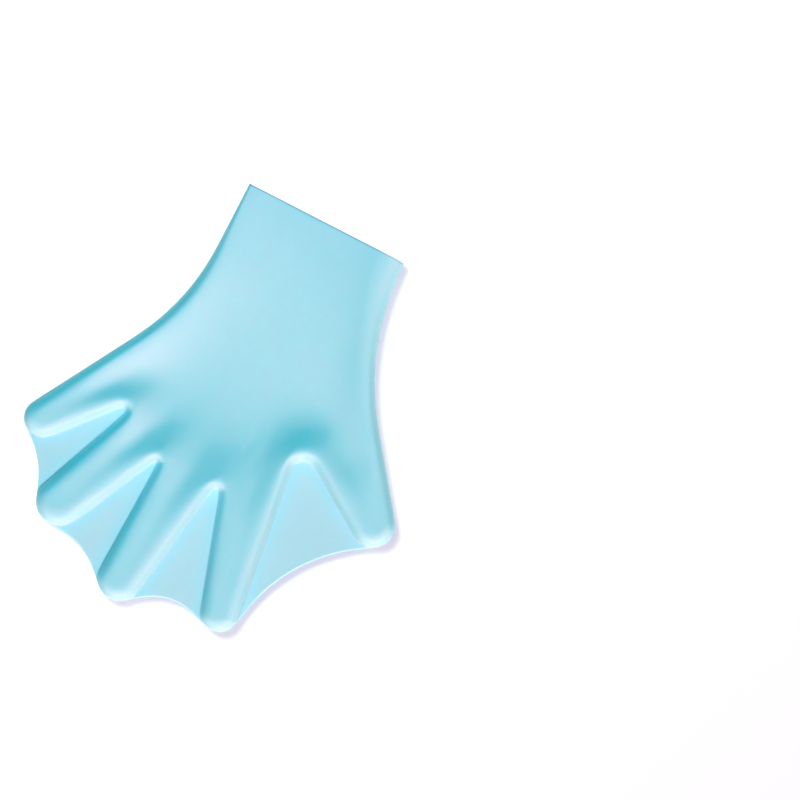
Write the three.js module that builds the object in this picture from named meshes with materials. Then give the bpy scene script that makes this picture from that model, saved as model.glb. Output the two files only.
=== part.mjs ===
// A webbed swim glove: one soft silicone moulding with an open cuff, a hollow palm, five hollow finger
// stalls and four thin webs between them. It lies flat, with its cuff towards +Y, its fingers towards -Y,
// its thumb towards +X and its underside on Z = 0. Lengths are in millimetres, angles in degrees.
import * as THREE from "three";

// The plan, measured from the middle of the cuff's edge.
const gloveLength = 217;
const gloveSpan = 192.5;
const cuffWidth = 87;
const littleSideLean = 0.4;
const littleSideStraight = 36;
const thumbSideLean = -4.5;
const thumbSideStraight = 12;
const fingerWidth = 22;

// The thicknesses, and the heights above the surface that the glove lies on.
const wallThickness = 1.8;
const webThickness = 2;
const webLevel = 8.5;
const stallHeight = 17;
const cuffHeight = 20;

// The rounded flank that lifts the stalls and the palm out of the webs. It is broader beside the cuff.
const flankWidth = 4.6;
const cuffFlankLittle = 3.4;
const cuffFlankThumb = 8;
const cuffFlankReach = 60;

// The upper skin sags between its stiff flanks: how deep it lies, and how far in from the flank.
const sagDepth = 2.6;
const sagReach = 18;

// How many straight pieces make up each stretch of the outline.
const sideSteps = 10;
const stallSteps = 6;
const tipCornerSteps = 3;
const tipFrontSteps = 5;
const apexSteps = 6;
const scallopSteps = 10;

// An outer finger has a web on one side only. The corner of its tip is this share of the turn to that web.
const outerCornerShare = 0.4;

// Two points nearer than this are one.
const touching = 1e-6;

// Each finger: the middle of its round tip, as shares of the glove's span and length, its width there as a
// share of the finger width, the lean of its axis from -Y towards -X, and the widening of each side.
const fingerTable = [
  { name: "little", across: -0.4255, along: 0.6977, width: 0.882, lean: 35.6, taper: 5.4 },
  { name: "ring", across: -0.288, along: 0.8525, width: 1.09, lean: 24.2, taper: 2.2 },
  { name: "middle", across: -0.057, along: 0.949, width: 1, lean: 5.3, taper: 3.9 },
  { name: "index", across: 0.2156, along: 0.9134, width: 0.864, lean: -12.8, taper: 5.2 },
  { name: "thumb", across: 0.467, along: 0.57, width: 0.99, lean: -47, taper: 9.7 },
];

// Each web: the round end of its notch as a share of the finger width, and the hollow curve of its outer
// edge as a share of the glove's span.
const webTable = [
  { name: "little_ring", apex: 0.08, scallop: 0.213 },
  { name: "ring_middle", apex: 0.045, scallop: 0.2 },
  { name: "middle_index", apex: 0.095, scallop: 0.161 },
  { name: "index_thumb", apex: 0.31, scallop: 0.44 },
];

// The flank's section: shares of its width, measured in from the foot, and of its height.
const upperFlank = [
  { inward: 0, rise: 0 },
  { inward: 0.08, rise: 0.32 },
  { inward: 0.26, rise: 0.66 },
  { inward: 0.55, rise: 0.91 },
  { inward: 1, rise: 1 },
];
const lowerFlank = [
  { inward: 0, rise: 0 },
  { inward: 0.14, rise: 0.45 },
  { inward: 0.45, rise: 0.84 },
  { inward: 1, rise: 1 },
];
const innerFlank = [
  { inward: 0, rise: 0 },
  { inward: 0.22, rise: 0.6 },
  { inward: 1, rise: 1 },
];

// The knuckles lie this share of the length from the cuff. From there the height grows towards the cuff.
const knuckleShare = 0.62;

const radians = THREE.MathUtils.degToRad;
const plan = (x, y) => new THREE.Vector2(x, y);
const along = (start, direction, length) => start.clone().addScaledVector(direction, length);
const share = (from, to, t) => from.clone().lerp(to, t);
const smooth = (t) => THREE.MathUtils.smoothstep(t, 0, 1);

// Turns a direction a quarter turn to the left, which is inwards on an outline that runs anticlockwise.
const leftOf = (direction) => plan(-direction.y, direction.x);

// The direction of a line that runs from the cuff towards the fingertips, leaning from -Y towards -X.
const leaning = (degrees) => plan(-Math.sin(radians(degrees)), -Math.cos(radians(degrees)));

function crossing(startA, directionA, startB, directionB) {
  const between = startB.clone().sub(startA);
  const length = between.cross(directionB) / directionA.cross(directionB);
  return along(startA, directionA, length);
}

// A stretch of outline: points with the inward normal at each, so that the same points give every ring.
function lineStretch(start, end, inward, steps) {
  return Array.from({ length: steps + 1 }, (_, i) => ({ at: share(start, end, i / steps), inward }));
}

// A round stretch from one angle to another. Bulge is 1 where the outline bulges out, -1 where it hollows.
function arcStretch(centre, radius, startAngle, endAngle, bulge, steps) {
  return Array.from({ length: steps + 1 }, (_, i) => {
    const angle = THREE.MathUtils.lerp(startAngle, endAngle, i / steps);
    const outward = plan(Math.cos(angle), Math.sin(angle));
    return { at: along(centre, outward, radius), inward: outward.multiplyScalar(-bulge) };
  });
}

const angleOf = (vector) => Math.atan2(vector.y, vector.x);

// The angle that is nearest to a reference, a whole number of turns away.
function unwound(angle, reference) {
  return angle + 2 * Math.PI * Math.round((reference - angle) / (2 * Math.PI));
}

// A finger's round tip and the two straight sides that touch it.
function makeFinger({ name, across, along: reach, width, lean, taper }) {
  const tip = plan(across * gloveSpan, -reach * gloveLength);
  const radius = (width * fingerWidth) / 2;
  const littleWay = leaning(lean - taper);
  const thumbWay = leaning(lean + taper);
  return {
    name,
    tip,
    radius,
    littleWay,
    thumbWay,
    littleInward: leftOf(littleWay),
    thumbInward: leftOf(thumbWay).negate(),
    littleFoot: along(tip, leftOf(littleWay), -radius),
    thumbFoot: along(tip, leftOf(thumbWay), radius),
  };
}

// The round end of the notch between two fingers, which touches the facing side of each.
function makeApex(finger, next, radius) {
  const shiftA = along(finger.thumbFoot, finger.thumbInward, -radius);
  const shiftB = along(next.littleFoot, next.littleInward, -radius);
  const centre = crossing(shiftA, finger.thumbWay, shiftB, next.littleWay);
  return {
    centre,
    radius,
    start: along(centre, finger.thumbInward, radius),
    end: along(centre, next.littleInward, radius),
  };
}

// The hollow outer edge of a web: a circle outside the glove that touches both fingertips.
function makeScallop(finger, next, radius) {
  const between = next.tip.clone().sub(finger.tip);
  const distance = between.length();
  const way = between.normalize();
  const a = radius + finger.radius;
  const b = radius + next.radius;
  const forward = (a * a - b * b + distance * distance) / (2 * distance);
  const outward = leftOf(way).negate();
  const centre = along(along(finger.tip, way, forward), outward, Math.sqrt(a * a - forward * forward));
  return { centre, radius };
}

// The palm's side, from the cuff to the root of an outer finger: straight, then a long hollow bend that
// runs into the finger's own side. The points lie at even lengths. Inward is 1 to the left, -1 to the right.
function sideStretch({ corner, lean, straight, foot, way, inward, end }) {
  const down = leaning(lean);
  const bendStart = along(corner, down, straight);
  const tangent = crossing(corner, down, foot, way).distanceTo(bendStart);
  const turn = Math.asin(down.cross(way));
  const bend = tangent / Math.tan(Math.abs(turn) / 2);
  const centre = along(bendStart, leftOf(down), -inward * bend);
  const bendLength = bend * Math.abs(turn);
  const bendEnd = along(crossing(corner, down, foot, way), way, tangent);
  const whole = straight + bendLength + bendEnd.distanceTo(end);
  return Array.from({ length: sideSteps + 1 }, (_, i) => {
    const length = (whole * i) / sideSteps;
    const turned = turn * THREE.MathUtils.clamp((length - straight) / bendLength, 0, 1);
    const direction = down.clone().rotateAround(plan(0, 0), turned);
    const onBend = along(centre, leftOf(direction), inward * bend);
    const beyond = Math.min(0, length - straight) + Math.max(0, length - straight - bendLength);
    return { at: along(onBend, direction, beyond), inward: leftOf(direction).multiplyScalar(inward) };
  });
}

const fingers = fingerTable.map(makeFinger);
const apexes = webTable.map((web, i) => makeApex(fingers[i], fingers[i + 1], web.apex * fingerWidth));
const scallops = webTable.map((web, i) => makeScallop(fingers[i], fingers[i + 1], web.scallop * gloveSpan));

// A finger's own block begins where its sides leave the notches. An outer side begins level with the other.
function rootsOf(finger, i) {
  const thumbSide = apexes[i] && apexes[i].start;
  const littleSide = apexes[i - 1] && apexes[i - 1].end;
  const levelWith = (root, foot, inward, way, otherFoot) =>
    root || along(foot, way, otherFoot[1].clone().sub(otherFoot[0]).dot(otherFoot[2]));
  return {
    little: levelWith(littleSide, finger.littleFoot, finger.littleInward, finger.littleWay, [
      finger.thumbFoot,
      thumbSide,
      finger.thumbWay,
    ]),
    thumb: levelWith(thumbSide, finger.thumbFoot, finger.thumbInward, finger.thumbWay, [
      finger.littleFoot,
      littleSide,
      finger.littleWay,
    ]),
  };
}

// Walks the outline anticlockwise from the cuff's little side to its thumb side, and notes which of its
// points belong to each side, stall, tip and notch.
function walkOutline() {
  const points = [];
  const add = (stretch) => {
    const joined = points.length > 0;
    const first = joined ? points.length - 1 : 0;
    points.push(...(joined ? stretch.slice(1) : stretch));
    return Array.from({ length: stretch.length }, (_, i) => first + i);
  };
  const roots = fingers.map(rootsOf);
  const little = fingers[0];
  const thumb = fingers[fingers.length - 1];

  const littleSide = add(
    sideStretch({
      corner: plan(-cuffWidth / 2, 0),
      lean: littleSideLean,
      straight: littleSideStraight,
      foot: little.littleFoot,
      way: little.littleWay,
      inward: 1,
      end: roots[0].little,
    }),
  );
  const stalls = [];
  const notches = [];
  fingers.forEach((finger, i) => {
    const { little: littleRoot, thumb: thumbRoot } = roots[i];
    const littleAngle = angleOf(finger.littleInward.clone().negate());
    const thumbAngle = unwound(angleOf(finger.thumbInward.clone().negate()), littleAngle + Math.PI);
    const towards = (scallop) => angleOf(scallop.centre.clone().sub(finger.tip));
    const from = scallops[i - 1] ? unwound(towards(scallops[i - 1]), littleAngle) : null;
    const to = scallops[i] ? unwound(towards(scallops[i]), thumbAngle) : null;
    const frontStart = from ?? THREE.MathUtils.lerp(littleAngle, to, outerCornerShare);
    const frontEnd = to ?? THREE.MathUtils.lerp(thumbAngle, from, outerCornerShare);
    const tipArc = (start, end, steps) => add(arcStretch(finger.tip, finger.radius, start, end, 1, steps));

    const littleLine = add(lineStretch(littleRoot, finger.littleFoot, finger.littleInward, stallSteps));
    const littleTip = tipArc(littleAngle, frontStart, tipCornerSteps);
    const front = tipArc(frontStart, frontEnd, tipFrontSteps);
    const thumbTip = tipArc(frontEnd, thumbAngle, tipCornerSteps);
    const thumbLine = add(lineStretch(finger.thumbFoot, thumbRoot, finger.thumbInward, stallSteps));
    stalls.push({ littleLine, littleTip, front, thumbTip, thumbLine });

    const apex = apexes[i];
    if (apex) {
      const start = angleOf(finger.thumbInward);
      const end = unwound(angleOf(fingers[i + 1].littleInward), start);
      notches.push(add(arcStretch(apex.centre, apex.radius, start, end, -1, apexSteps)));
    }
  });
  const downThumbSide = sideStretch({
    corner: plan(cuffWidth / 2, 0),
    lean: thumbSideLean,
    straight: thumbSideStraight,
    foot: thumb.thumbFoot,
    way: thumb.thumbWay,
    inward: -1,
    end: roots[fingers.length - 1].thumb,
  });
  const thumbSide = add(downThumbSide.reverse());
  points[0].inward = plan(1, 0);
  points[points.length - 1].inward = plan(-1, 0);
  return { points, littleSide, thumbSide, stalls, notches };
}

const outline = walkOutline();
const chain = outline.points.map(({ at }) => at);

// The distance from a point of the plan to the outline, which doesn't run along the cuff.
function distanceToOutline(point) {
  const segment = new THREE.Line3();
  const flat = new THREE.Vector3(point.x, point.y, 0);
  const nearest = new THREE.Vector3();
  let least = Infinity;
  for (let i = 0; i + 1 < chain.length; i++) {
    segment.start.set(chain[i].x, chain[i].y, 0);
    segment.end.set(chain[i + 1].x, chain[i + 1].y, 0);
    least = Math.min(least, segment.closestPointToPoint(flat, true, nearest).distanceTo(flat));
  }
  return least;
}

// The flank's width in plan at a point of the outline: it changes to the cuff's own width beside the cuff.
function flankAt(point) {
  const nearCuff = smooth(1 + point.y / cuffFlankReach);
  const atCuff = point.x < 0 ? cuffFlankLittle : cuffFlankThumb;
  return THREE.MathUtils.lerp(flankWidth, atCuff, nearCuff);
}

// The height of the stiff flank's top, and of the skin that sags inside it.
function rimHeight(y) {
  return THREE.MathUtils.lerp(stallHeight, cuffHeight, smooth(1 + y / (knuckleShare * gloveLength)));
}

function crownHeight(point) {
  const inside = Math.max(0, distanceToOutline(point) - flankAt(point));
  return rimHeight(point.y) - sagDepth * smooth(Math.min(1, inside / sagReach));
}

// The four skins: where each leaves the level of the webs, its flank's section, and the height inside it.
const skins = {
  upper: {
    side: 1,
    foot: webLevel + webThickness / 2,
    inset: 0,
    flank: upperFlank,
    crown: crownHeight,
  },
  lower: {
    side: -1,
    foot: webLevel - webThickness / 2,
    inset: 0,
    flank: lowerFlank,
    crown: () => 0,
  },
  innerUpper: {
    side: -1,
    foot: webLevel,
    inset: wallThickness,
    flank: innerFlank,
    crown: (point) => crownHeight(point) - wallThickness,
  },
  innerLower: {
    side: 1,
    foot: webLevel,
    inset: wallThickness,
    flank: innerFlank,
    crown: () => wallThickness,
  },
};

const corners = [];
const triangle = (a, b, c, side) => corners.push(...(side > 0 ? [a, b, c] : [a, c, b]));

function quad(a, b, c, d, side) {
  triangle(a, b, c, side);
  triangle(a, c, d, side);
}

function strip(outer, inner, side) {
  for (let i = 0; i + 1 < outer.length; i++) {
    quad(outer[i], outer[i + 1], inner[i + 1], inner[i], side);
  }
}

const raised = (point, z) => new THREE.Vector3(point.x, point.y, z);

// The rings of a flank, from its foot to the crown's edge, each an open chain from cuff to cuff.
function flankRings({ foot, inset, flank, crown }) {
  return flank.map(({ inward, rise }) =>
    outline.points.map(({ at, inward: normal }) => {
      const width = flankAt(at);
      const top = crown(along(at, normal, width));
      const moved = along(at, normal, inset + inward * width);
      return raised(moved, THREE.MathUtils.lerp(foot, top, rise));
    }),
  );
}

// The sheet inside a flank: a patch over the palm, spread between its four edges, and a strip down each
// stall with a middle line that ends at the tip.
function crownSheet({ side, crown }, edge) {
  const pick = (indices) => indices.map((i) => edge[i]);
  const flat = (point) => plan(point.x, point.y);
  const lift = (point) => raised(point, crown(point));
  const middles = outline.stalls.map(({ littleLine, thumbLine }) => {
    const little = pick(littleLine);
    const thumb = pick(thumbLine).reverse();
    return little.map((point, i) => lift(share(flat(point), flat(thumb[i]), 0.5)));
  });

  outline.stalls.forEach((stall, i) => {
    const little = pick(stall.littleLine);
    const thumb = pick(stall.thumbLine).reverse();
    const middle = middles[i];
    for (let j = 0; j + 1 < little.length; j++) {
      quad(little[j], little[j + 1], middle[j + 1], middle[j], side);
      quad(middle[j], middle[j + 1], thumb[j + 1], thumb[j], side);
    }
    const round = [...stall.littleTip, ...stall.front.slice(1), ...stall.thumbTip.slice(1)];
    const tip = pick(round);
    const hub = middle[middle.length - 1];
    for (let j = 0; j + 1 < tip.length; j++) {
      triangle(hub, tip[j], tip[j + 1], side);
    }
  });

  const front = outline.stalls.flatMap((stall, i) => {
    const notch = outline.notches[i] ? pick(outline.notches[i]).slice(1, -1) : [];
    return [edge[stall.littleLine[0]], middles[i][0], edge[stall.thumbLine.at(-1)], ...notch];
  });
  const littleEdge = pick(outline.littleSide);
  const thumbEdge = pick(outline.thumbSide).reverse();
  const travelled = front.reduce(
    (sums, point, i) => [...sums, i ? sums[i - 1] + flat(point).distanceTo(flat(front[i - 1])) : 0],
    [],
  );
  const across = travelled.map((length) => length / travelled[travelled.length - 1]);
  const rows = littleEdge.length - 1;
  const grid = littleEdge.map((littlePoint, row) => {
    const down = row / rows;
    return front.map((frontPoint, column) => {
      if (row === rows) return frontPoint;
      if (column === 0) return littlePoint;
      if (column === front.length - 1) return thumbEdge[row];
      const t = across[column];
      const cuffPoint = share(flat(littleEdge[0]), flat(thumbEdge[0]), t);
      const sides = share(flat(littlePoint), flat(thumbEdge[row]), t);
      const ends = share(cuffPoint, flat(frontPoint), down);
      const frame = share(cuffPoint, share(flat(front[0]), flat(front[front.length - 1]), t), down);
      return lift(sides.add(ends).sub(frame));
    });
  });
  for (let row = 0; row < rows; row++) {
    for (let column = 0; column + 1 < front.length; column++) {
      quad(
        grid[row][column], grid[row + 1][column],
        grid[row + 1][column + 1], grid[row][column + 1], side,
      );
    }
  }
  return grid[0];
}

// One skin, flank and crown. It returns its line along the cuff's end, from the little side to the thumb.
function makeSkin(skin) {
  const rings = flankRings(skin);
  for (let i = 0; i + 1 < rings.length; i++) strip(rings[i], rings[i + 1], skin.side);
  const cuffLine = crownSheet(skin, rings[rings.length - 1]);
  const littleEnd = rings.map((ring) => ring[0]);
  const thumbEnd = rings.map((ring) => ring[ring.length - 1]).reverse();
  return [...littleEnd, ...cuffLine.slice(1, -1), ...thumbEnd];
}

// The hollow outer edge of a web, from one fingertip to the next.
function scallopPoints(i) {
  const { centre, radius } = scallops[i];
  const start = angleOf(fingers[i].tip.clone().sub(centre));
  const end = unwound(angleOf(fingers[i + 1].tip.clone().sub(centre)), start);
  return arcStretch(centre, radius, start, end, -1, scallopSteps).map(({ at }) => at);
}

// A web's two faces, bounded by the feet of two stalls, the notch between them and the hollow outer edge.
function makeWeb(i) {
  const pick = (indices) => indices.map((index) => chain[index]);
  const { thumbTip, thumbLine } = outline.stalls[i];
  const { littleLine, littleTip } = outline.stalls[i + 1];
  const inner = pick([
    ...thumbTip,
    ...thumbLine.slice(1),
    ...outline.notches[i].slice(1),
    ...littleLine.slice(1),
    ...littleTip.slice(1),
  ]);
  const border = [...scallopPoints(i), ...inner.slice(1, -1).reverse()];
  const faces = THREE.ShapeUtils.triangulateShape(border, []);
  for (const side of [1, -1]) {
    const z = webLevel + (side * webThickness) / 2;
    for (const [a, b, c] of faces) {
      triangle(raised(border[a], z), raised(border[b], z), raised(border[c], z), side);
    }
  }
}

// The thin edge that runs round the whole glove at the level of the webs.
function makeRim() {
  const pick = (indices) => indices.map((index) => chain[index]);
  const last = fingers.length - 1;
  const line = [...pick(outline.littleSide)];
  outline.stalls.forEach((stall, i) => {
    if (i === 0) line.push(...pick([...stall.littleLine.slice(1), ...stall.littleTip.slice(1)]));
    line.push(...pick(stall.front.slice(1)));
    if (i < last) line.push(...scallopPoints(i).slice(1));
    else line.push(...pick([...stall.thumbTip.slice(1), ...stall.thumbLine.slice(1)]));
  });
  line.push(...pick(outline.thumbSide.slice(1)));
  const top = webLevel + webThickness / 2;
  const bottom = webLevel - webThickness / 2;
  strip(line.map((point) => raised(point, bottom)), line.map((point) => raised(point, top)), 1);
}

// The cuff's end: a flat lip as thick as the wall, between the outer skins and the hollow.
function makeLip(outerUpper, outerLower, innerUpper, innerLower) {
  const loop = (upper, lower) => [...lower, ...upper.slice().reverse()];
  const withoutRepeats = (points) =>
    points.filter((point, i) => point.distanceTo(points[(i + 1) % points.length]) > touching);
  const outer = withoutRepeats(loop(outerUpper, outerLower));
  const inner = withoutRepeats(loop(innerUpper, innerLower));
  const section = (points) => points.map((point) => plan(point.x, point.z));
  const all = [...outer, ...inner];
  for (const [a, b, c] of THREE.ShapeUtils.triangulateShape(section(outer), [section(inner)])) {
    triangle(all[a], all[b], all[c], -1);
  }
}

const upperEnd = makeSkin(skins.upper);
const lowerEnd = makeSkin(skins.lower);
const innerUpperEnd = makeSkin(skins.innerUpper);
const innerLowerEnd = makeSkin(skins.innerLower);
webTable.forEach((_, i) => makeWeb(i));
makeRim();
makeLip(upperEnd, lowerEnd, innerUpperEnd, innerLowerEnd);

const silicone = new THREE.MeshStandardMaterial({ color: 0x93dcea, roughness: 0.5, metalness: 0 });
const geometry = new THREE.BufferGeometry().setFromPoints(corners);
geometry.computeBoundingBox();
const middle = geometry.boundingBox.getCenter(new THREE.Vector3());
geometry.computeVertexNormals();

const glove = new THREE.Mesh(geometry, silicone);
glove.name = "glove";
glove.position.set(-middle.x, -middle.y, 0);

const part = new THREE.Group();
part.add(glove);

export default part;
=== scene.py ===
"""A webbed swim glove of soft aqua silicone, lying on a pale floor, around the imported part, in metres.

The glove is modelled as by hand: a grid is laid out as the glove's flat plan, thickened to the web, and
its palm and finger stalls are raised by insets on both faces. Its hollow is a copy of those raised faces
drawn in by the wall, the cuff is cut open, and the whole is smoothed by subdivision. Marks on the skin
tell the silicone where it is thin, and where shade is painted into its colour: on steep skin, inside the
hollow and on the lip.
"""

import math
from collections import namedtuple

import bmesh
import bpy
import numpy as np
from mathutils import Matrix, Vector


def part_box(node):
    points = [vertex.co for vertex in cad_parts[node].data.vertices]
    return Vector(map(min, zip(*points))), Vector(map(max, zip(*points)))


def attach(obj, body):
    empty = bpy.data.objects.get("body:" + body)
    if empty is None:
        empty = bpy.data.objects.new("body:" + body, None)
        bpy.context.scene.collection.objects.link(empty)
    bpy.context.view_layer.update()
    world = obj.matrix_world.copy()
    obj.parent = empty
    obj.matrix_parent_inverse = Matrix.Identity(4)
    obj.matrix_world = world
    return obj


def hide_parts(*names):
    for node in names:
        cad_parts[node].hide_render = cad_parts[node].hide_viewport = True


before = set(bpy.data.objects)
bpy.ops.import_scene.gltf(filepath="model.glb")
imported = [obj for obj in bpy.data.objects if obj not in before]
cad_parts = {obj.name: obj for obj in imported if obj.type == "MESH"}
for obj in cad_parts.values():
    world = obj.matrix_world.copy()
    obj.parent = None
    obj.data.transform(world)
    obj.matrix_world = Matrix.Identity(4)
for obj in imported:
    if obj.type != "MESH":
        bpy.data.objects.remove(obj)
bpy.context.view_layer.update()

MM = 0.001

# The glove's sizes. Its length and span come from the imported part, the rest as they were measured.
low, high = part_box("glove")
GLOVE_LENGTH = high.y - low.y
GLOVE_SPAN = high.x - low.x
CUFF_WIDTH = 87 * MM
LITTLE_SIDE_LEAN = 0.4
LITTLE_SIDE_STRAIGHT = 36 * MM
THUMB_SIDE_LEAN = -4.5
THUMB_SIDE_STRAIGHT = 12 * MM
FINGER_WIDTH = 22 * MM
WALL = 1.8 * MM
WEB_THICKNESS = 2 * MM
WEB_LEVEL = 8.5 * MM
STALL_HEIGHT = 17 * MM
CUFF_HEIGHT = 20 * MM

# The flank that lifts the stalls and the palm out of the webs, and its width at each side of the cuff.
FLANK = 4.6 * MM
CUFF_FLANK_LITTLE = 2 * MM
CUFF_FLANK_THUMB = 9.5 * MM
CUFF_FLANK_REACH = 60 * MM

# The skin sags inside the flank. A stall has a level rim and a shallow sag. The palm is a dish that is
# steepest near its edge. Over the fade's length it gets shallower towards the cuff, down to the last share.
RIM_WIDTH = 2.5 * MM
STALL_SAG_DEPTH = 2.6 * MM
STALL_SAG_REACH = 12 * MM
STALL_SAG_POWER = 2.4
PALM_SAG_DEPTH = 5.3 * MM
PALM_SAG_REACH = 15 * MM
PALM_SAG_POWER = 1.25
PALM_SAG_FADE = 80 * MM
CUFF_SAG_SHARE = 0.3

# How far down a stall its own sag has taken over from the palm's, how far from its axis that ends, and the
# width over which it ends.
STALL_FADE = 24 * MM
STALL_REACH = 20 * MM
STALL_EDGE = 4 * MM

# The knuckles' place as a share of the length. The rim falls to them from the cuff.
KNUCKLE_SHARE = 0.62

# How the grid is divided: rows down the palm, rows along a stall, rows round a tip, and columns in a stall
# as shares of its width.
PALM_ROWS = 12
STALL_ROWS = 6
TIP_ROWS = 3
STALL_SHARES = (0.31, 0.5, 0.69)

# How the grid's points are spread: their distance from the palm's sides and from a tip's edge, the width
# of the knuckles' line, the power by which the palm's rows take up that line's own points, the least
# distance from the flank's foot, and how much the rows even out between a web's two sides.
PALM_MARGIN = 10 * MM
TIP_MARGIN = 6.2 * MM
KNUCKLE_WIDTH = 170 * MM
KNUCKLE_PULL = 6
PALM_CLEARANCE = 7 * MM
WEB_EVENING = 3

# The length that is cut off at the cuff, and how far in the cuff's change of flank moves the skin.
SPARE_CUFF = 12 * MM
SLIDE_FADE = 30 * MM

# How closely a place is told: past the flank's width, off a web's face, and at the cuff's end.
FLANK_TOP = 0.8 * MM
TOUCHING = 0.001 * MM
NEAR_LIP = 0.01 * MM

# An outer finger has a web on one side only. The corner of its tip is this share of the turn to that web.
OUTER_CORNER = 0.4

# How far in from an edge the rows lie that keep it crisp. The lip's painted shade, a dark line, fades over
# the first of them.
LIP_HOLD = 0.8 * MM
LIP_INSET = 0.55 * MM
WEB_HOLD = 0.6 * MM

# A web's paleness beside a stall, as a share, how far from the stall it is full, and how steep a skin
# gets the full painted shade: a deeper, darker colour that stands in for the shade on the flanks.
THIN_AT_STALL = 0.3
THIN_REACH = 8 * MM
STEEP_ENOUGH = 0.5

# Each finger: the middle of its round tip as shares of the span and length, its width there as a share of
# the finger width, the lean of its axis from -Y towards -X in degrees, and the widening of each side.
FingerRow = namedtuple("FingerRow", "name across along width lean taper")
FINGERS = (
    FingerRow("little", -0.4255, 0.6977, 0.882, 35.6, 5.4),
    FingerRow("ring", -0.288, 0.8525, 1.09, 24.2, 2.2),
    FingerRow("middle", -0.057, 0.949, 1.0, 5.3, 3.9),
    FingerRow("index", 0.2156, 0.9134, 0.864, -12.8, 5.2),
    FingerRow("thumb", 0.467, 0.57, 0.99, -47.0, 9.7),
)

# Each web: the round end of its notch as a share of the finger width, the hollow curve of its outer edge
# as a share of the span, the number of grid columns that cross it, and the dent that the palm's skin has
# behind the notch, as its depth and how far behind it lies.
WebRow = namedtuple("WebRow", "apex scallop columns dent behind")
WEBS = (
    WebRow(0.08, 0.213, 3, 2.2 * MM, 14 * MM),
    WebRow(0.045, 0.2, 4, 0.3 * MM, 14 * MM),
    WebRow(0.095, 0.161, 4, 0.1 * MM, 14 * MM),
    WebRow(0.31, 0.44, 6, 2.0 * MM, 20 * MM),
)

# How wide a dent is, and how far inside the rim it has its full depth.
DENT_REACH = 26 * MM
DENT_EDGE = 15 * MM

# The flank's section: shares of its width, in from the foot, and of its height.
UPPER_FLANK = ((0.08, 0.30), (0.26, 0.60), (0.58, 0.85), (1.0, 0.96))
LOWER_FLANK = ((0.14, 0.45), (0.45, 0.84), (1.0, 1.0))

# Faces are told apart while the glove is modelled: the raised skin of palm and stalls, the webs, and the
# hollow's lining. A face is level, or square to the glove's length, if its normal passes these shares.
PALM, WEB, LINING = 0, 1, 2
LEVEL = 0.9
SQUARE = 0.99
SMOOTHING_LEVELS = 2


def flat(x, y):
    return Vector((x, y))


def left_of(way):
    return flat(-way.y, way.x)


def leaning(degrees):
    return flat(-math.sin(math.radians(degrees)), -math.cos(math.radians(degrees)))


def cross(a, b):
    return a.x * b.y - a.y * b.x


def crossing(start_a, way_a, start_b, way_b):
    return start_a + way_a * (cross(start_b - start_a, way_b) / cross(way_a, way_b))


def turned(vector, angle):
    cosine, sine = math.cos(angle), math.sin(angle)
    return flat(cosine * vector.x - sine * vector.y, sine * vector.x + cosine * vector.y)


def angle_between(a, b):
    return math.atan2(cross(a, b), a.dot(b))


def arc(centre, start, end, steps):
    """Points round a centre from one point to another, the short way."""
    turn = angle_between(start - centre, end - centre)
    return [centre + turned(start - centre, turn * i / steps) for i in range(steps + 1)]


def line(start, end, steps):
    return [start.lerp(end, i / steps) for i in range(steps + 1)]


def smooth(t):
    t = np.clip(t, 0, 1)
    return t * t * (3 - 2 * t)


class Stall:
    """A finger's plan: its round tip and the two straight sides that touch it."""

    def __init__(self, row):
        self.tip = flat(row.across * GLOVE_SPAN, -row.along * GLOVE_LENGTH)
        self.radius = row.width * FINGER_WIDTH / 2
        self.little_way = leaning(row.lean - row.taper)
        self.thumb_way = leaning(row.lean + row.taper)
        self.little_foot = self.tip - left_of(self.little_way) * self.radius
        self.thumb_foot = self.tip + left_of(self.thumb_way) * self.radius


def notch_of(stall, following, radius):
    """The round end of the notch between two stalls: its centre and the points where it meets each."""
    out_a = left_of(stall.thumb_way)
    out_b = -left_of(following.little_way)
    centre = crossing(
        stall.thumb_foot + out_a * radius, stall.thumb_way,
        following.little_foot + out_b * radius, following.little_way,
    )
    return centre, centre - out_a * radius, centre - out_b * radius


def scallop_of(stall, following, radius):
    """The hollow outer edge of a web: the middle of a circle outside it, which touches both tips."""
    between = following.tip - stall.tip
    way = between.normalized()
    a, b = radius + stall.radius, radius + following.radius
    forward = (a * a - b * b + between.length_squared) / (2 * between.length)
    return stall.tip + way * forward - left_of(way) * math.sqrt(a * a - forward * forward)


def side_path(corner, lean, straight, foot, way, inward, end, steps):
    """The palm's side at even lengths: straight from the cuff, a long hollow bend, then the stall's side."""
    down = leaning(lean)
    bend_start = corner + down * straight
    meeting = crossing(corner, down, foot, way)
    tangent = (meeting - bend_start).length
    turn = angle_between(down, way)
    bend = tangent / math.tan(abs(turn) / 2)
    centre = bend_start - left_of(down) * inward * bend
    bend_length = bend * abs(turn)
    whole = straight + bend_length + (end - meeting - way * tangent).length
    points = []
    for i in range(steps + 1):
        length = whole * i / steps
        direction = turned(down, turn * min(max((length - straight) / bend_length, 0), 1))
        beyond = min(0, length - straight) + max(0, length - straight - bend_length)
        points.append(centre + left_of(direction) * inward * bend + direction * beyond)
    return points


stalls = [Stall(row) for row in FINGERS]
notches = [notch_of(stalls[i], stalls[i + 1], web.apex * FINGER_WIDTH) for i, web in enumerate(WEBS)]
scallops = [scallop_of(stalls[i], stalls[i + 1], web.scallop * GLOVE_SPAN) for i, web in enumerate(WEBS)]


def root_beside(foot, way, other_foot, other_root):
    """Where an outer side leaves the palm: level with the notch at the stall's other side."""
    return foot - way * (other_foot - other_root).length


def tip_touch(i, scallop):
    """The point where a web's outer edge touches a fingertip."""
    stall = stalls[i]
    return stall.tip + (scallop - stall.tip).normalized() * stall.radius


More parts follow.
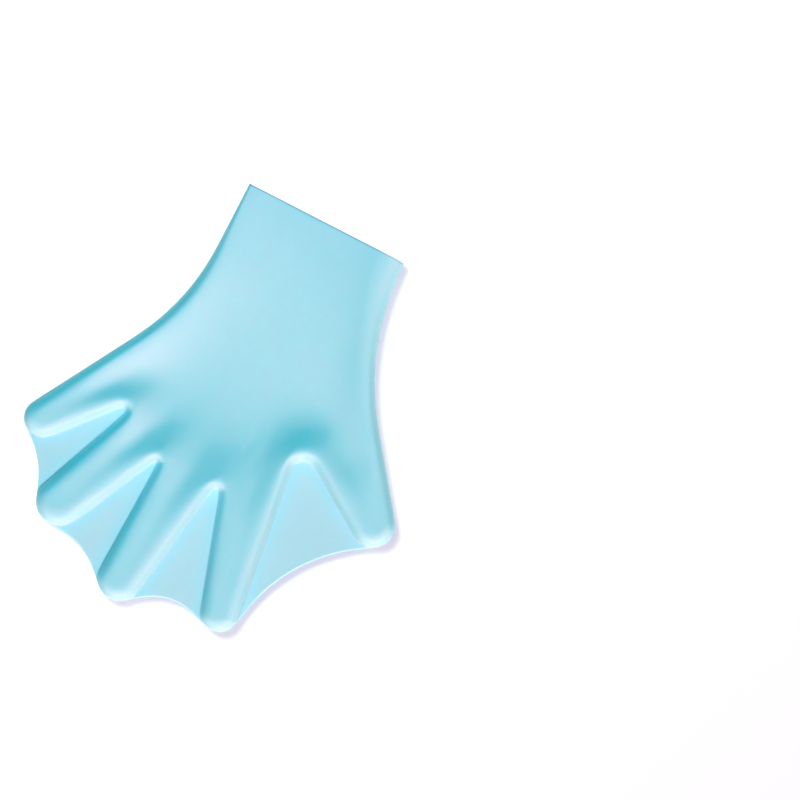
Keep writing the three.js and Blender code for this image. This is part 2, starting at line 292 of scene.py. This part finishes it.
def stall_edges(i):
    """A stall's two edges from its root round to the tip's front, with the front's points between."""
    stall = stalls[i]
    thumb_root = notches[i][1] if i < len(WEBS) else None
    little_root = notches[i - 1][2] if i > 0 else None
    if little_root is None:
        little_root = root_beside(stall.little_foot, stall.little_way, stall.thumb_foot, thumb_root)
    if thumb_root is None:
        thumb_root = root_beside(stall.thumb_foot, stall.thumb_way, stall.little_foot, little_root)
    front_end = tip_touch(i, scallops[i]) if i < len(WEBS) else None
    front_start = tip_touch(i, scallops[i - 1]) if i > 0 else None
    if front_start is None:
        turn = angle_between(stall.little_foot - stall.tip, front_end - stall.tip)
        front_start = stall.tip + turned(stall.little_foot - stall.tip, turn % math.tau * OUTER_CORNER)
    if front_end is None:
        turn = angle_between(front_start - stall.tip, stall.thumb_foot - stall.tip)
        front_end = stall.tip + turned(front_start - stall.tip, turn % math.tau * (1 - OUTER_CORNER))
    little = line(little_root, stall.little_foot, STALL_ROWS)
    little += arc(stall.tip, stall.little_foot, front_start, TIP_ROWS)[1:]
    thumb = line(thumb_root, stall.thumb_foot, STALL_ROWS)
    thumb += arc(stall.tip, stall.thumb_foot, front_end, TIP_ROWS)[1:]
    front = arc(stall.tip, front_start, front_end, len(STALL_SHARES) + 1)[1:-1]
    return little, thumb, front


edges = [stall_edges(i) for i in range(len(stalls))]


def behind_notch(i):
    """The middle of the dent behind a notch, on the line that halves the angle between its two stalls."""
    opening = stalls[i].thumb_way + stalls[i + 1].little_way
    return notches[i][0] - opening.normalized() * WEBS[i].behind


def stall_inner(i, row):
    """The points inside a stall on one of its rows. Round the tip they keep clear of the flank."""
    little, thumb, front = edges[i]
    last = STALL_ROWS + TIP_ROWS
    if row == last:
        return front
    if row <= STALL_ROWS:
        return [little[row].lerp(thumb[row], share) for share in STALL_SHARES]
    tip, radius = stalls[i].tip, stalls[i].radius
    core = [tip + (point - tip) * (1 - TIP_MARGIN / radius) for point in front]
    start = stall_inner(i, STALL_ROWS)
    share = (row - STALL_ROWS) / (TIP_ROWS - 1)
    return [a.lerp(b, share) for a, b in zip(start, core)]


def travelled(points):
    """The share of a line's length that is reached at each of its points."""
    lengths = [0]
    for before, after in zip(points, points[1:]):
        lengths.append(lengths[-1] + (after - before).length)
    return [length / lengths[-1] for length in lengths]


def along(points, share):
    """The point at a share of a line's length."""
    reached = travelled(points)
    return flat(*(np.interp(share, reached, [point[k] for point in points]) for k in (0, 1)))


def web_inner(i, row):
    """The points inside a web on one of its rows, from the notch's round end to the hollow outer edge."""
    columns = WEBS[i].columns
    last = STALL_ROWS + TIP_ROWS
    start, end = edges[i][1], edges[i + 1][0]
    notch = arc(notches[i][0], start[0], end[0], columns)
    outer = arc(scallops[i], start[last], end[last], columns)
    down_start, down_end = travelled(start)[row], travelled(end)[row]
    pull_start = start[row] - start[0].lerp(start[last], down_start)
    pull_end = end[row] - end[0].lerp(end[last], down_end)
    points = []
    for j in range(1, columns):
        share = j / columns
        beside = down_start + (down_end - down_start) * share
        down = beside + (row / last - beside) * WEB_EVENING * share * (1 - share)
        points.append(notch[j].lerp(outer[j], down) + pull_start.lerp(pull_end, share))
    return points


def finger_row(row):
    points = []
    for i in range(len(stalls)):
        points += [edges[i][0][row], *stall_inner(i, row), edges[i][1][row]]
        if i < len(WEBS):
            points += web_inner(i, row)
    return points


def column_kinds():
    """For each column of the grid, whether it crosses a stall or a web."""
    kinds = []
    for i in range(len(stalls)):
        kinds += [PALM] * (len(STALL_SHARES) + 1)
        if i < len(WEBS):
            kinds += [WEB] * WEBS[i].columns
    return kinds


def palm_rows():
    """The palm's rows, from the cuff to the knuckles, where they take up the stalls and the notches."""
    little_corner, thumb_corner = flat(-CUFF_WIDTH / 2, 0), flat(CUFF_WIDTH / 2, 0)
    little, thumb = stalls[0], stalls[-1]
    little_side = side_path(
        little_corner, LITTLE_SIDE_LEAN, LITTLE_SIDE_STRAIGHT,
        little.little_foot, little.little_way, 1, edges[0][0][0], PALM_ROWS,
    )
    thumb_side = side_path(
        thumb_corner, THUMB_SIDE_LEAN, THUMB_SIDE_STRAIGHT,
        thumb.thumb_foot, thumb.thumb_way, -1, edges[-1][1][0], PALM_ROWS,
    )
    knuckles = finger_row(0)
    last = len(knuckles) - 1
    cuff_shares, knuckle_shares = (
        [0, *np.linspace(PALM_MARGIN / width, 1 - PALM_MARGIN / width, last - 1), 1]
        for width in (CUFF_WIDTH, KNUCKLE_WIDTH)
    )
    even = [along(knuckles, share) for share in knuckle_shares]
    rows = []
    for row in range(PALM_ROWS):
        down = row / PALM_ROWS
        little_pull = little_side[row] - little_corner.lerp(knuckles[0], down)
        thumb_pull = thumb_side[row] - thumb_corner.lerp(knuckles[last], down)
        points = []
        for j, share in enumerate(cuff_shares):
            point = little_corner.lerp(thumb_corner, share).lerp(even[j], down)
            point += little_pull.lerp(thumb_pull, share)
            points.append(point + (knuckles[j] - even[j]) * down ** KNUCKLE_PULL)
        rows.append(points)
    spare = flat(0, SPARE_CUFF)
    return [[point + spare for point in rows[0]], *rows]


origin = flat(low.x - (stalls[0].tip.x - stalls[0].radius), high.y)
plan = palm_rows() + [finger_row(row) for row in range(STALL_ROWS + TIP_ROWS + 1)]
plan = [[point + origin for point in row] for row in plan]


def outline_points():
    """The foot of the flank all round, from the cuff's little side to its thumb side."""
    points = [row[0] for row in plan[1:PALM_ROWS + 1]]
    for i in range(len(stalls)):
        little, thumb, front = edges[i]
        points += [point + origin for point in [*little, *front, *reversed(thumb)]]
        if i < len(WEBS):
            notch = arc(notches[i][0], edges[i][1][0], edges[i + 1][0][0], WEBS[i].columns)
            points += [point + origin for point in notch[1:-1]]
    points += [row[-1] for row in reversed(plan[1:PALM_ROWS + 1])]
    return np.array(points)


outline = outline_points()


def from_outline(points):
    """The way to each point of the plan from the nearest place on the foot of the flank."""
    start, end = outline[:-1], outline[1:]
    way = end - start
    lengths = np.maximum((way ** 2).sum(1), TOUCHING ** 2)
    offset = points[:, None, :] - start[None]
    t = np.clip((offset * way).sum(2) / lengths, 0, 1)
    offset -= t[..., None] * way
    nearest = (offset ** 2).sum(2).argmin(1)
    return offset[np.arange(len(points)), nearest]


def depth_inside(points):
    """How far points of the plan lie from the foot of the flank."""
    return np.linalg.norm(from_outline(points), axis=1)


def clear_flank():
    """Moves the palm's inner points that lie too near the flank's foot further in."""
    for row in plan[1:PALM_ROWS + 1]:
        inner = np.array(row[1:-1])
        way = from_outline(inner)
        depth = np.linalg.norm(way, axis=1, keepdims=True)
        inner += way * np.maximum(0, PALM_CLEARANCE / depth - 1)
        row[1:-1] = [flat(*point) for point in inner]


clear_flank()


def in_stall(points):
    """How far points lie down a stall from its root: 0 in the palm, 1 from the fade's length on."""
    share = np.zeros(len(points))
    for stall, (little, thumb, _) in zip(stalls, edges):
        root = (little[0] + thumb[0]) / 2
        way = (stall.tip - root).normalized()
        offset = points[:, :2] - np.array(root + origin)
        beside = np.abs(offset @ np.array(left_of(way)))
        down = smooth(offset @ np.array(way) / STALL_FADE)
        share = np.maximum(share, down * smooth((STALL_REACH - beside) / STALL_EDGE))
    return share


def flank_at(points):
    """The flank's width in plan, which changes to the cuff's own width beside the cuff."""
    beside_cuff = smooth(1 + (points[:, 1] - high.y) / CUFF_FLANK_REACH)
    own = np.where(points[:, 0] > origin.x, CUFF_FLANK_THUMB, CUFF_FLANK_LITTLE)
    return FLANK + (own - FLANK) * beside_cuff


def crown_height(points):
    """The height of the upper skin: the rim at the flank's top, less the sag and the dents inside it."""
    towards_cuff = 1 + (points[:, 1] - high.y) / (KNUCKLE_SHARE * GLOVE_LENGTH)
    rim = STALL_HEIGHT + (CUFF_HEIGHT - STALL_HEIGHT) * smooth(towards_cuff)
    stall = in_stall(points)
    inside = np.maximum(0, depth_inside(points) - flank_at(points) - RIM_WIDTH * stall)
    from_cuff = smooth((high.y - points[:, 1]) / PALM_SAG_FADE)
    stall_sag = STALL_SAG_DEPTH * (1 - np.exp(-(inside / STALL_SAG_REACH) ** STALL_SAG_POWER))
    palm_sag = PALM_SAG_DEPTH * (1 - np.exp(-(inside / PALM_SAG_REACH) ** PALM_SAG_POWER))
    palm_sag *= CUFF_SAG_SHARE + (1 - CUFF_SAG_SHARE) * from_cuff
    sag = stall * stall_sag + (1 - stall) * palm_sag
    for i, web in enumerate(WEBS):
        spread = ((points[:, :2] - np.array(behind_notch(i) + origin)) ** 2).sum(1) / DENT_REACH ** 2
        sag += web.dent * np.exp(-spread) * smooth(inside / DENT_EDGE)
    return rim - sag


def edit(obj):
    """Opens an object alone in edit mode, with nothing selected."""
    bpy.ops.object.select_all(action="DESELECT")
    obj.select_set(True)
    bpy.context.view_layer.objects.active = obj
    bpy.ops.object.mode_set(mode="EDIT")
    bpy.ops.mesh.select_mode(type="FACE")
    bpy.ops.mesh.select_all(action="DESELECT")
    return bmesh.from_edit_mesh(obj.data)


def select_faces(obj, wanted):
    bm = bmesh.from_edit_mesh(obj.data)
    for face in bm.faces:
        face.select_set(False)
    for face in bm.faces:
        if wanted(face):
            face.select_set(True)
    bmesh.update_edit_mesh(obj.data)


def lay_out_plan():
    """The glove's flat plan: a grid whose rows are laid along the palm and the stalls."""
    rows, columns = len(plan) - 1, len(plan[0]) - 1
    bpy.ops.object.select_all(action="DESELECT")
    bpy.ops.mesh.primitive_grid_add(x_subdivisions=columns, y_subdivisions=rows, size=1)
    glove = bpy.context.object
    glove.name = "glove_silicone"
    kinds = column_kinds()
    bm = edit(glove)
    for face in bm.faces:
        middle = face.calc_center_median()
        row = int((0.5 - middle.y) * rows)
        face.material_index = kinds[int((middle.x + 0.5) * columns)] if row > PALM_ROWS else PALM
    for vert in bm.verts:
        column = round((vert.co.x + 0.5) * columns)
        row = round((0.5 - vert.co.y) * rows)
        vert.co = (*plan[row][column], WEB_LEVEL)
    bmesh.update_edit_mesh(glove.data)
    return glove


def thicken_web():
    """The flat plan becomes a sheet as thick as the web."""
    bpy.ops.mesh.select_all(action="SELECT")
    bpy.ops.mesh.extrude_region_move(TRANSFORM_OT_translate={"value": (0, 0, -WEB_THICKNESS)})
    bpy.ops.mesh.select_all(action="SELECT")
    bpy.ops.transform.translate(value=(0, 0, WEB_THICKNESS / 2))
    bpy.ops.mesh.normals_make_consistent(inside=False)


def raise_flank(glove, side, section, height):
    """Insets the stalls and the palm on one face and lifts them, a step for each row of the section."""
    select_faces(glove, lambda f: f.material_index == PALM and f.normal.z * side > LEVEL)
    before = (0, 0)
    for inward, rise in section:
        thickness = (inward - before[0]) * FLANK
        bpy.ops.mesh.inset(thickness=thickness, depth=(rise - before[1]) * height, use_even_offset=True)
        before = (inward, rise)


def hold_webs(glove):
    """A narrow border on each web keeps its edge and its foot crisp."""
    select_faces(glove, lambda f: f.material_index == WEB and abs(f.normal.z) > LEVEL)
    bpy.ops.mesh.inset(thickness=WEB_HOLD, depth=0, use_even_offset=False)


def settle_skin(glove):
    """Sets the flank's width beside the cuff, and the height of the upper skin and of the flank below it."""
    bm = bmesh.from_edit_mesh(glove.data)
    co = np.array([v.co for v in bm.verts])
    half = WEB_THICKNESS / 2 + TOUCHING
    lifted = np.abs(co[:, 2] - WEB_LEVEL) > half
    depth = depth_inside(co[:, :2])
    share = np.minimum(depth / FLANK, (SLIDE_FADE - depth) / (SLIDE_FADE - FLANK))
    slide = (flank_at(co) - FLANK) * np.clip(share, 0, 1) * lifted
    co[:, 0] -= np.where(co[:, 0] > origin.x, slide, -slide)
    foot = WEB_LEVEL + WEB_THICKNESS / 2
    lift = (co[:, 2] - foot) / (STALL_HEIGHT - foot)
    lift = 1 - (1 - np.clip(lift, 0, 1)) ** np.maximum(1, FLANK / flank_at(co))
    lift = np.where(depth > FLANK + FLANK_TOP, 1, lift)
    raised = foot + lift * (crown_height(co[:, :2]) - foot)
    co[:, 2] = np.where(lifted & (co[:, 2] > foot), raised, co[:, 2])
    for vert, place in zip(bm.verts, co):
        vert.co = place
    bmesh.update_edit_mesh(glove.data)


def line_hollow(glove):
    """The hollow: a copy of the raised skins, drawn in by the wall, with its two halves joined."""
    half = WEB_THICKNESS / 2 + TOUCHING

    def raised(face):
        return face.material_index == PALM and any(abs(v.co.z - WEB_LEVEL) > half for v in face.verts)

    select_faces(glove, raised)
    bpy.ops.mesh.duplicate()
    bpy.ops.transform.shrink_fatten(value=-WALL, use_even_offset=True)
    bpy.ops.mesh.flip_normals()
    bm = bmesh.from_edit_mesh(glove.data)
    lining = [face for face in bm.faces if face.select]
    for face in lining:
        face.material_index = LINING
    open_edges = [edge for face in lining for edge in face.edges if len(edge.link_faces) == 1]
    bpy.ops.mesh.select_mode(type="EDGE")
    bpy.ops.mesh.select_all(action="DESELECT")
    bm = bmesh.from_edit_mesh(glove.data)
    for edge in open_edges:
        edge.select_set(True)
    bmesh.update_edit_mesh(glove.data)
    bpy.ops.mesh.bridge_edge_loops()
    bpy.ops.mesh.select_mode(type="FACE")


def open_cuff(glove):
    """Cuts the spare length off at the cuff and joins the outer and inner skins by the lip."""
    for back in (LIP_HOLD, 0):
        bpy.ops.mesh.select_all(action="SELECT")
        bpy.ops.mesh.bisect(
            plane_co=(0, high.y - back, 0), plane_no=(0, 1, 0), clear_outer=back == 0,
        )
    bpy.ops.mesh.bridge_edge_loops()
    bpy.ops.mesh.select_mode(type="FACE")
    select_faces(glove, lambda f: f.normal.y > SQUARE and f.calc_center_median().y > high.y - NEAR_LIP)
    bpy.ops.mesh.inset(thickness=LIP_INSET, depth=0, use_even_offset=True)


def model_glove():
    glove = lay_out_plan()
    thicken_web()
    raise_flank(glove, 1, UPPER_FLANK, STALL_HEIGHT - WEB_LEVEL - WEB_THICKNESS / 2)
    raise_flank(glove, -1, LOWER_FLANK, WEB_LEVEL - WEB_THICKNESS / 2)
    hold_webs(glove)
    settle_skin(glove)
    line_hollow(glove)
    open_cuff(glove)
    bpy.ops.object.mode_set(mode="OBJECT")
    smoothing = glove.modifiers.new("smoothing", "SUBSURF")
    smoothing.levels = SMOOTHING_LEVELS
    smoothing.render_levels = SMOOTHING_LEVELS
    bpy.ops.object.modifier_apply(modifier=smoothing.name)
    bpy.ops.object.shade_smooth()
    return glove


# The silicone's colours. The body and the webs are faintly cloudy between two shades each. The last three
# are painted shade: a deeper, darker teal on steep skin, a dark aqua in the hollow and a dark blue on the
# lip.
BODY_SHADES = (0.335, 0.71, 0.835), (0.385, 0.735, 0.855)
WEB_SHADES = (0.41, 0.71, 0.81), (0.45, 0.73, 0.825)
STEEP_SHADE_COLOUR = (0.22, 0.68, 0.795)
HOLLOW_SHADE_COLOUR = (0.07, 0.62, 0.72)
LIP_SHADE_COLOUR = (0.16, 0.37, 0.6)

# How many clouds or grains lie along a metre, roughly, and how much detail each texture has.
BODY_CLOUDS = 45, 3
WEB_CLOUDS = 60, 2
GRAIN = 2600, 3


def silicone():
    """Soft satin silicone: light wanders in it, it is paler where it is thin, it has a fine grain, and shade
    is painted into it on steep skin, in the hollow and on the lip.
    """
    material = bpy.data.materials.new("aqua_silicone")
    material.use_nodes = True
    nodes, links = material.node_tree.nodes, material.node_tree.links
    shader = nodes["Principled BSDF"]
    shader.inputs["Roughness"].default_value = 0.55
    shader.inputs["Specular IOR Level"].default_value = 0.35
    shader.inputs["Subsurface Weight"].default_value = 1.0
    shader.inputs["Subsurface Radius"].default_value = (0.3, 0.9, 1.0)
    shader.inputs["Subsurface Scale"].default_value = 1.6 * MM

    place = nodes.new("ShaderNodeTexCoord").outputs["Object"]

    def noise(scale, detail):
        texture = nodes.new("ShaderNodeTexNoise")
        texture.inputs["Scale"].default_value = scale
        texture.inputs["Detail"].default_value = detail
        links.new(place, texture.inputs["Vector"])
        return texture.outputs["Fac"]

    def mixed(share, first, second):
        mix = nodes.new("ShaderNodeMix")
        mix.data_type = "RGBA"
        links.new(share, mix.inputs["Factor"])
        for socket, colour in ((mix.inputs[6], first), (mix.inputs[7], second)):
            if isinstance(colour, tuple):
                socket.default_value = (*colour, 1)
            else:
                links.new(colour, socket)
        return mix.outputs[2]

    def mark(name):
        attribute = nodes.new("ShaderNodeAttribute")
        attribute.attribute_name = name
        return attribute.outputs["Fac"]

    body = mixed(noise(*BODY_CLOUDS), *BODY_SHADES)
    web = mixed(noise(*WEB_CLOUDS), *WEB_SHADES)
    # Painted shade: steep skin is mixed towards a deeper, darker teal, as the flanks look in shade.
    skin = mixed(mark("steep_shade"), mixed(mark("thin"), body, web), STEEP_SHADE_COLOUR)
    # Painted shade: the hollow's lining is mixed towards a dark aqua, as the hollow looks in shade.
    skin = mixed(mark("lining"), skin, HOLLOW_SHADE_COLOUR)
    # Painted shade: the cuff's lip is mixed towards a dark blue line along its edge.
    links.new(mixed(mark("lip_shade"), skin, LIP_SHADE_COLOUR), shader.inputs["Base Color"])

    bump = nodes.new("ShaderNodeBump")
    bump.inputs["Strength"].default_value = 0.25
    bump.inputs["Distance"].default_value = 0.05 * MM
    links.new(noise(*GRAIN), bump.inputs["Height"])
    links.new(bump.outputs["Normal"], shader.inputs["Normal"])
    return material


FLOOR_SIZE = 6
FLOOR_COLOUR = (0.9, 0.9, 0.9)


def pale_floor():
    bpy.ops.object.select_all(action="DESELECT")
    bpy.ops.mesh.primitive_plane_add(size=FLOOR_SIZE)
    floor = bpy.context.object
    floor.name = "floor"
    material = bpy.data.materials.new("pale_floor")
    material.use_nodes = True
    shader = material.node_tree.nodes["Principled BSDF"]
    shader.inputs["Base Color"].default_value = (*FLOOR_COLOUR, 1)
    shader.inputs["Roughness"].default_value = 0.8
    floor.data.materials.append(material)
    return floor


# The camera looks straight down, turned so that the cuff points to the upper right of the picture.
CAMERA_TURN = math.radians(27.233)
VIEW_WIDTH = 400 * MM
VIEW_MIDDLE = Vector((68.2 * MM, 46.8 * MM, 10 * MM))
CAMERA_HEIGHT = 2.4
DOWN_THE_PICTURE = Vector((math.sin(CAMERA_TURN), -math.cos(CAMERA_TURN), 0))
ACROSS_THE_PICTURE = Vector((math.cos(CAMERA_TURN), math.sin(CAMERA_TURN), 0))


def set_camera():
    data = bpy.data.cameras.new("camera")
    data.sensor_width = 36
    data.lens = data.sensor_width * CAMERA_HEIGHT / VIEW_WIDTH
    camera = bpy.data.objects.new("camera", data)
    bpy.context.scene.collection.objects.link(camera)
    camera.location = VIEW_MIDDLE + Vector((0, 0, CAMERA_HEIGHT))
    camera.rotation_euler = (0, 0, CAMERA_TURN)
    bpy.context.scene.camera = camera


# Each studio light: its place from the glove's middle, as distances down the picture, across it and up, its
# size, its power and its colour. The key light is a wide strip, so it has a second size.
LightRow = namedtuple("LightRow", "down across up size power colour")
KEY_LIGHT = LightRow(4.2, 0.7, 1.5, 8, 905, (1, 0.3, 0.25))
KEY_STRIP = 1.8
FILL_LIGHT = LightRow(0, 0, 1.6, 1.8, 21.3, (0.05, 0.98, 1))
FLOOR_LIGHT = LightRow(-0.6, -0.4, 1.8, 0.7, 27, (1, 0.98, 0.84))

# The even light on the floor, and the pale backdrop beyond it, which is seen brighter than it lights.
FLOOR_FILL = 1.97
FLOOR_FILL_COLOUR = (0.88, 0.78, 0.93)
BACKDROP_COLOUR = (0.9, 0.95, 1)
BACKDROP_SEEN = 1
BACKDROP_LIGHT = 0.08


def new_light(name, kind, strength, colour, lit):
    """A light that reaches one object alone."""
    data = bpy.data.lights.new(name, kind)
    data.energy = strength
    data.color = colour
    light = bpy.data.objects.new(name, data)
    bpy.context.scene.collection.objects.link(light)
    receivers = bpy.data.collections.new(name + "_receivers")
    receivers.objects.link(lit)
    light.light_linking.receiver_collection = receivers
    return light


def soft_light(name, row, lit):
    """A round studio light that points at the glove's middle."""
    light = new_light(name, "AREA", row.power, row.colour, lit)
    light.data.shape = "DISK"
    light.data.size = row.size
    middle = Vector((0, 0, CUFF_HEIGHT / 2))
    light.location = middle + Vector((0, 0, row.up))
    light.location += DOWN_THE_PICTURE * row.down + ACROSS_THE_PICTURE * row.across
    light.rotation_euler = (middle - light.location).to_track_quat("-Z", "Y").to_euler()
    return light


def light_glove(glove):
    """A low warm key light from below the picture, with no shadow or reflection, and a cool fill light."""
    key = soft_light("key_light", KEY_LIGHT, glove)
    key.data.shape = "RECTANGLE"
    key.data.size_y = KEY_STRIP
    key.data.use_shadow = False
    key.visible_glossy = False
    soft_light("fill_light", FILL_LIGHT, glove)


def light_floor(floor):
    """A light for the glove's shadow, and an even one straight from above that fills the shadow."""
    soft_light("floor_light", FLOOR_LIGHT, floor)
    fill = new_light("floor_fill", "SUN", FLOOR_FILL, FLOOR_FILL_COLOUR, floor)
    fill.data.use_shadow = False


def set_backdrop():
    """The backdrop beyond the floor: pale where the camera sees it, and dim as a light."""
    world = bpy.context.scene.world or bpy.data.worlds.new("studio")
    bpy.context.scene.world = world
    world.use_nodes = True
    nodes, links = world.node_tree.nodes, world.node_tree.links
    background = nodes["Background"]
    background.inputs["Color"].default_value = (*BACKDROP_COLOUR, 1)
    seen = nodes.new("ShaderNodeMapRange")
    seen.inputs["To Min"].default_value = BACKDROP_LIGHT
    seen.inputs["To Max"].default_value = BACKDROP_SEEN
    links.new(nodes.new("ShaderNodeLightPath").outputs["Is Camera Ray"], seen.inputs["Value"])
    links.new(seen.outputs["Result"], background.inputs["Strength"])


def mark_skin(glove):
    """Marks for the silicone: how thin the skin is, and where shade is painted into it: by how steep the
    skin is, in the hollow and on the lip.
    """
    mesh = glove.data

    def mark(name, domain, values):
        mesh.attributes.new(name, "FLOAT", domain).data.foreach_set("value", values)

    kinds = np.array([polygon.material_index for polygon in mesh.polygons])
    centres = np.array([polygon.center for polygon in mesh.polygons])
    from_stall = smooth(depth_inside(centres[:, :2]) / THIN_REACH)
    mark("thin", "FACE", (kinds == WEB) * (THIN_AT_STALL + (1 - THIN_AT_STALL) * from_stall))
    # Painted shade: the steeper the skin, the more of the deeper, darker colour it gets.
    upright = 1 - np.abs(np.array([normal.vector.z for normal in mesh.vertex_normals]))
    mark("steep_shade", "POINT", smooth(upright / STEEP_ENOUGH))
    # Painted shade: the hollow's lining is marked for its dark colour.
    mark("lining", "FACE", (kinds == LINING).astype(float))
    # Painted shade: the lip is marked for its dark line, which fades over the lip's rounded edge.
    from_lip = high.y - np.array([vertex.co.y for vertex in mesh.vertices])
    mark("lip_shade", "POINT", 1 - smooth(from_lip / LIP_HOLD))


glove = model_glove()
mark_skin(glove)
glove.data.materials.clear()
glove.data.materials.append(silicone())
for polygon in glove.data.polygons:
    polygon.material_index = 0
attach(glove, "root")
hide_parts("glove")
floor = pale_floor()
set_camera()
light_glove(glove)
light_floor(floor)
set_backdrop()
bpy.context.scene.view_settings.view_transform = "Standard"
